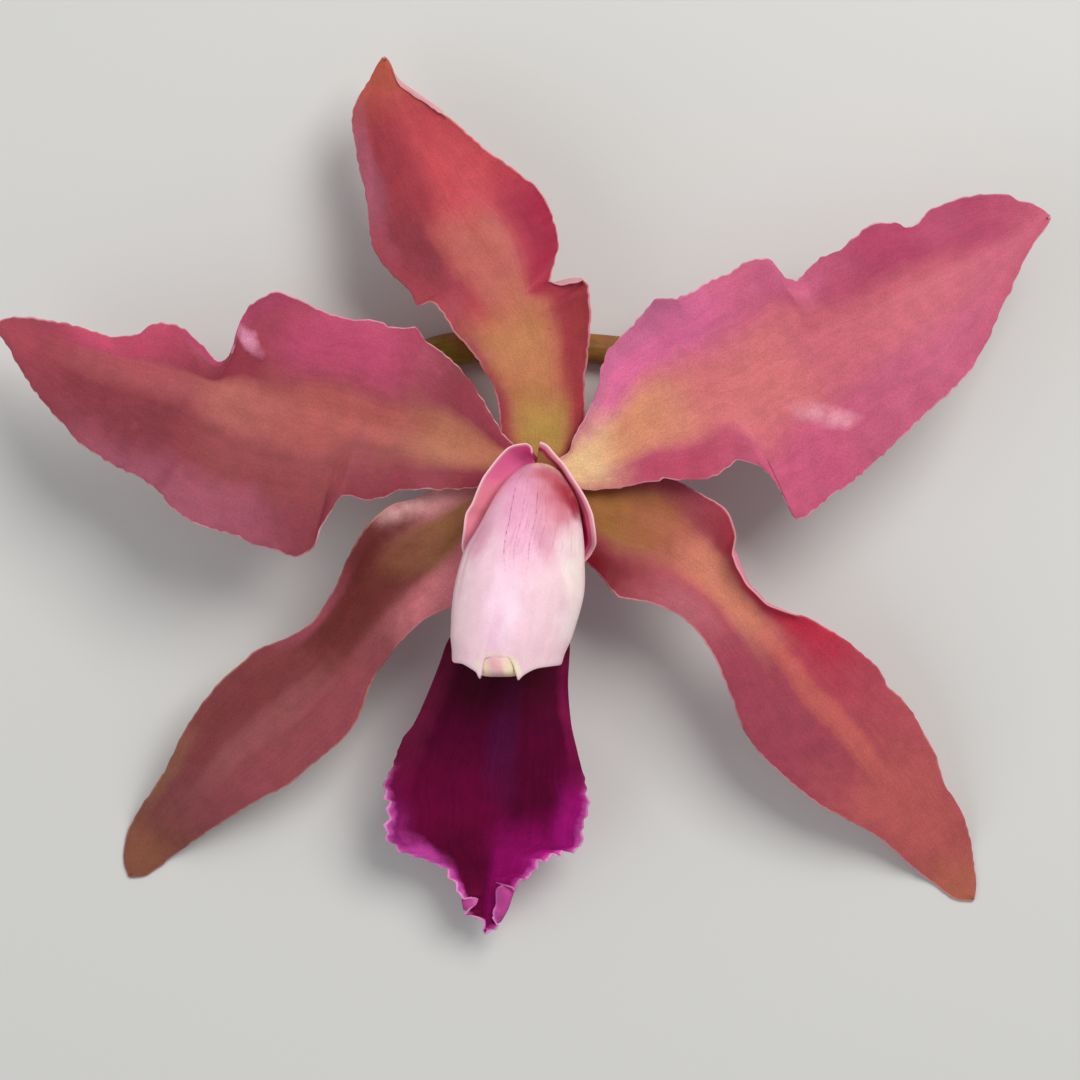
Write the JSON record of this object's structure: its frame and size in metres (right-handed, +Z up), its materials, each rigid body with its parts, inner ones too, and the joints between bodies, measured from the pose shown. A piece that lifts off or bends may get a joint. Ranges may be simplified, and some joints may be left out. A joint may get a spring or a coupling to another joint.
{
  "type": "cattleya orchid bloom",
  "caption": "Picked cattleya orchid bloom with waved petals, pointed sepals, a dark fringed lip and a pale column, lying face up on its sepal tips and stalk.",
  "frame": {"origin": "middle of the bloom's footprint, on the surface that it lies on", "axes": "+Z up, out of the face of the bloom; +Y towards the dorsal sepal; +X towards the right petal, along the widest span"},
  "size_m": [0.1172, 0.0988, 0.0252],
  "materials": {
    "dorsal_sepal": "satin plant tissue",
    "left_petal": "satin plant tissue",
    "right_petal": "satin plant tissue",
    "left_sepal": "satin plant tissue",
    "right_sepal": "satin plant tissue",
    "lip": "velvety plant tissue",
    "column": "waxy plant tissue",
    "anther_cap": "waxy plant tissue",
    "pollinia": "waxy pollen",
    "stalk": "smooth plant tissue"
  },
  "bodies": {
    "root": {"dorsal_sepal": "dorsal_sepal", "left_petal": "left_petal", "right_petal": "right_petal", "left_sepal": "left_sepal", "right_sepal": "right_sepal", "lip": "lip", "column": "column", "anther_cap": "anther_cap", "pollinia": "pollinia", "stalk": "stalk"}
  },
  "joints": []
}
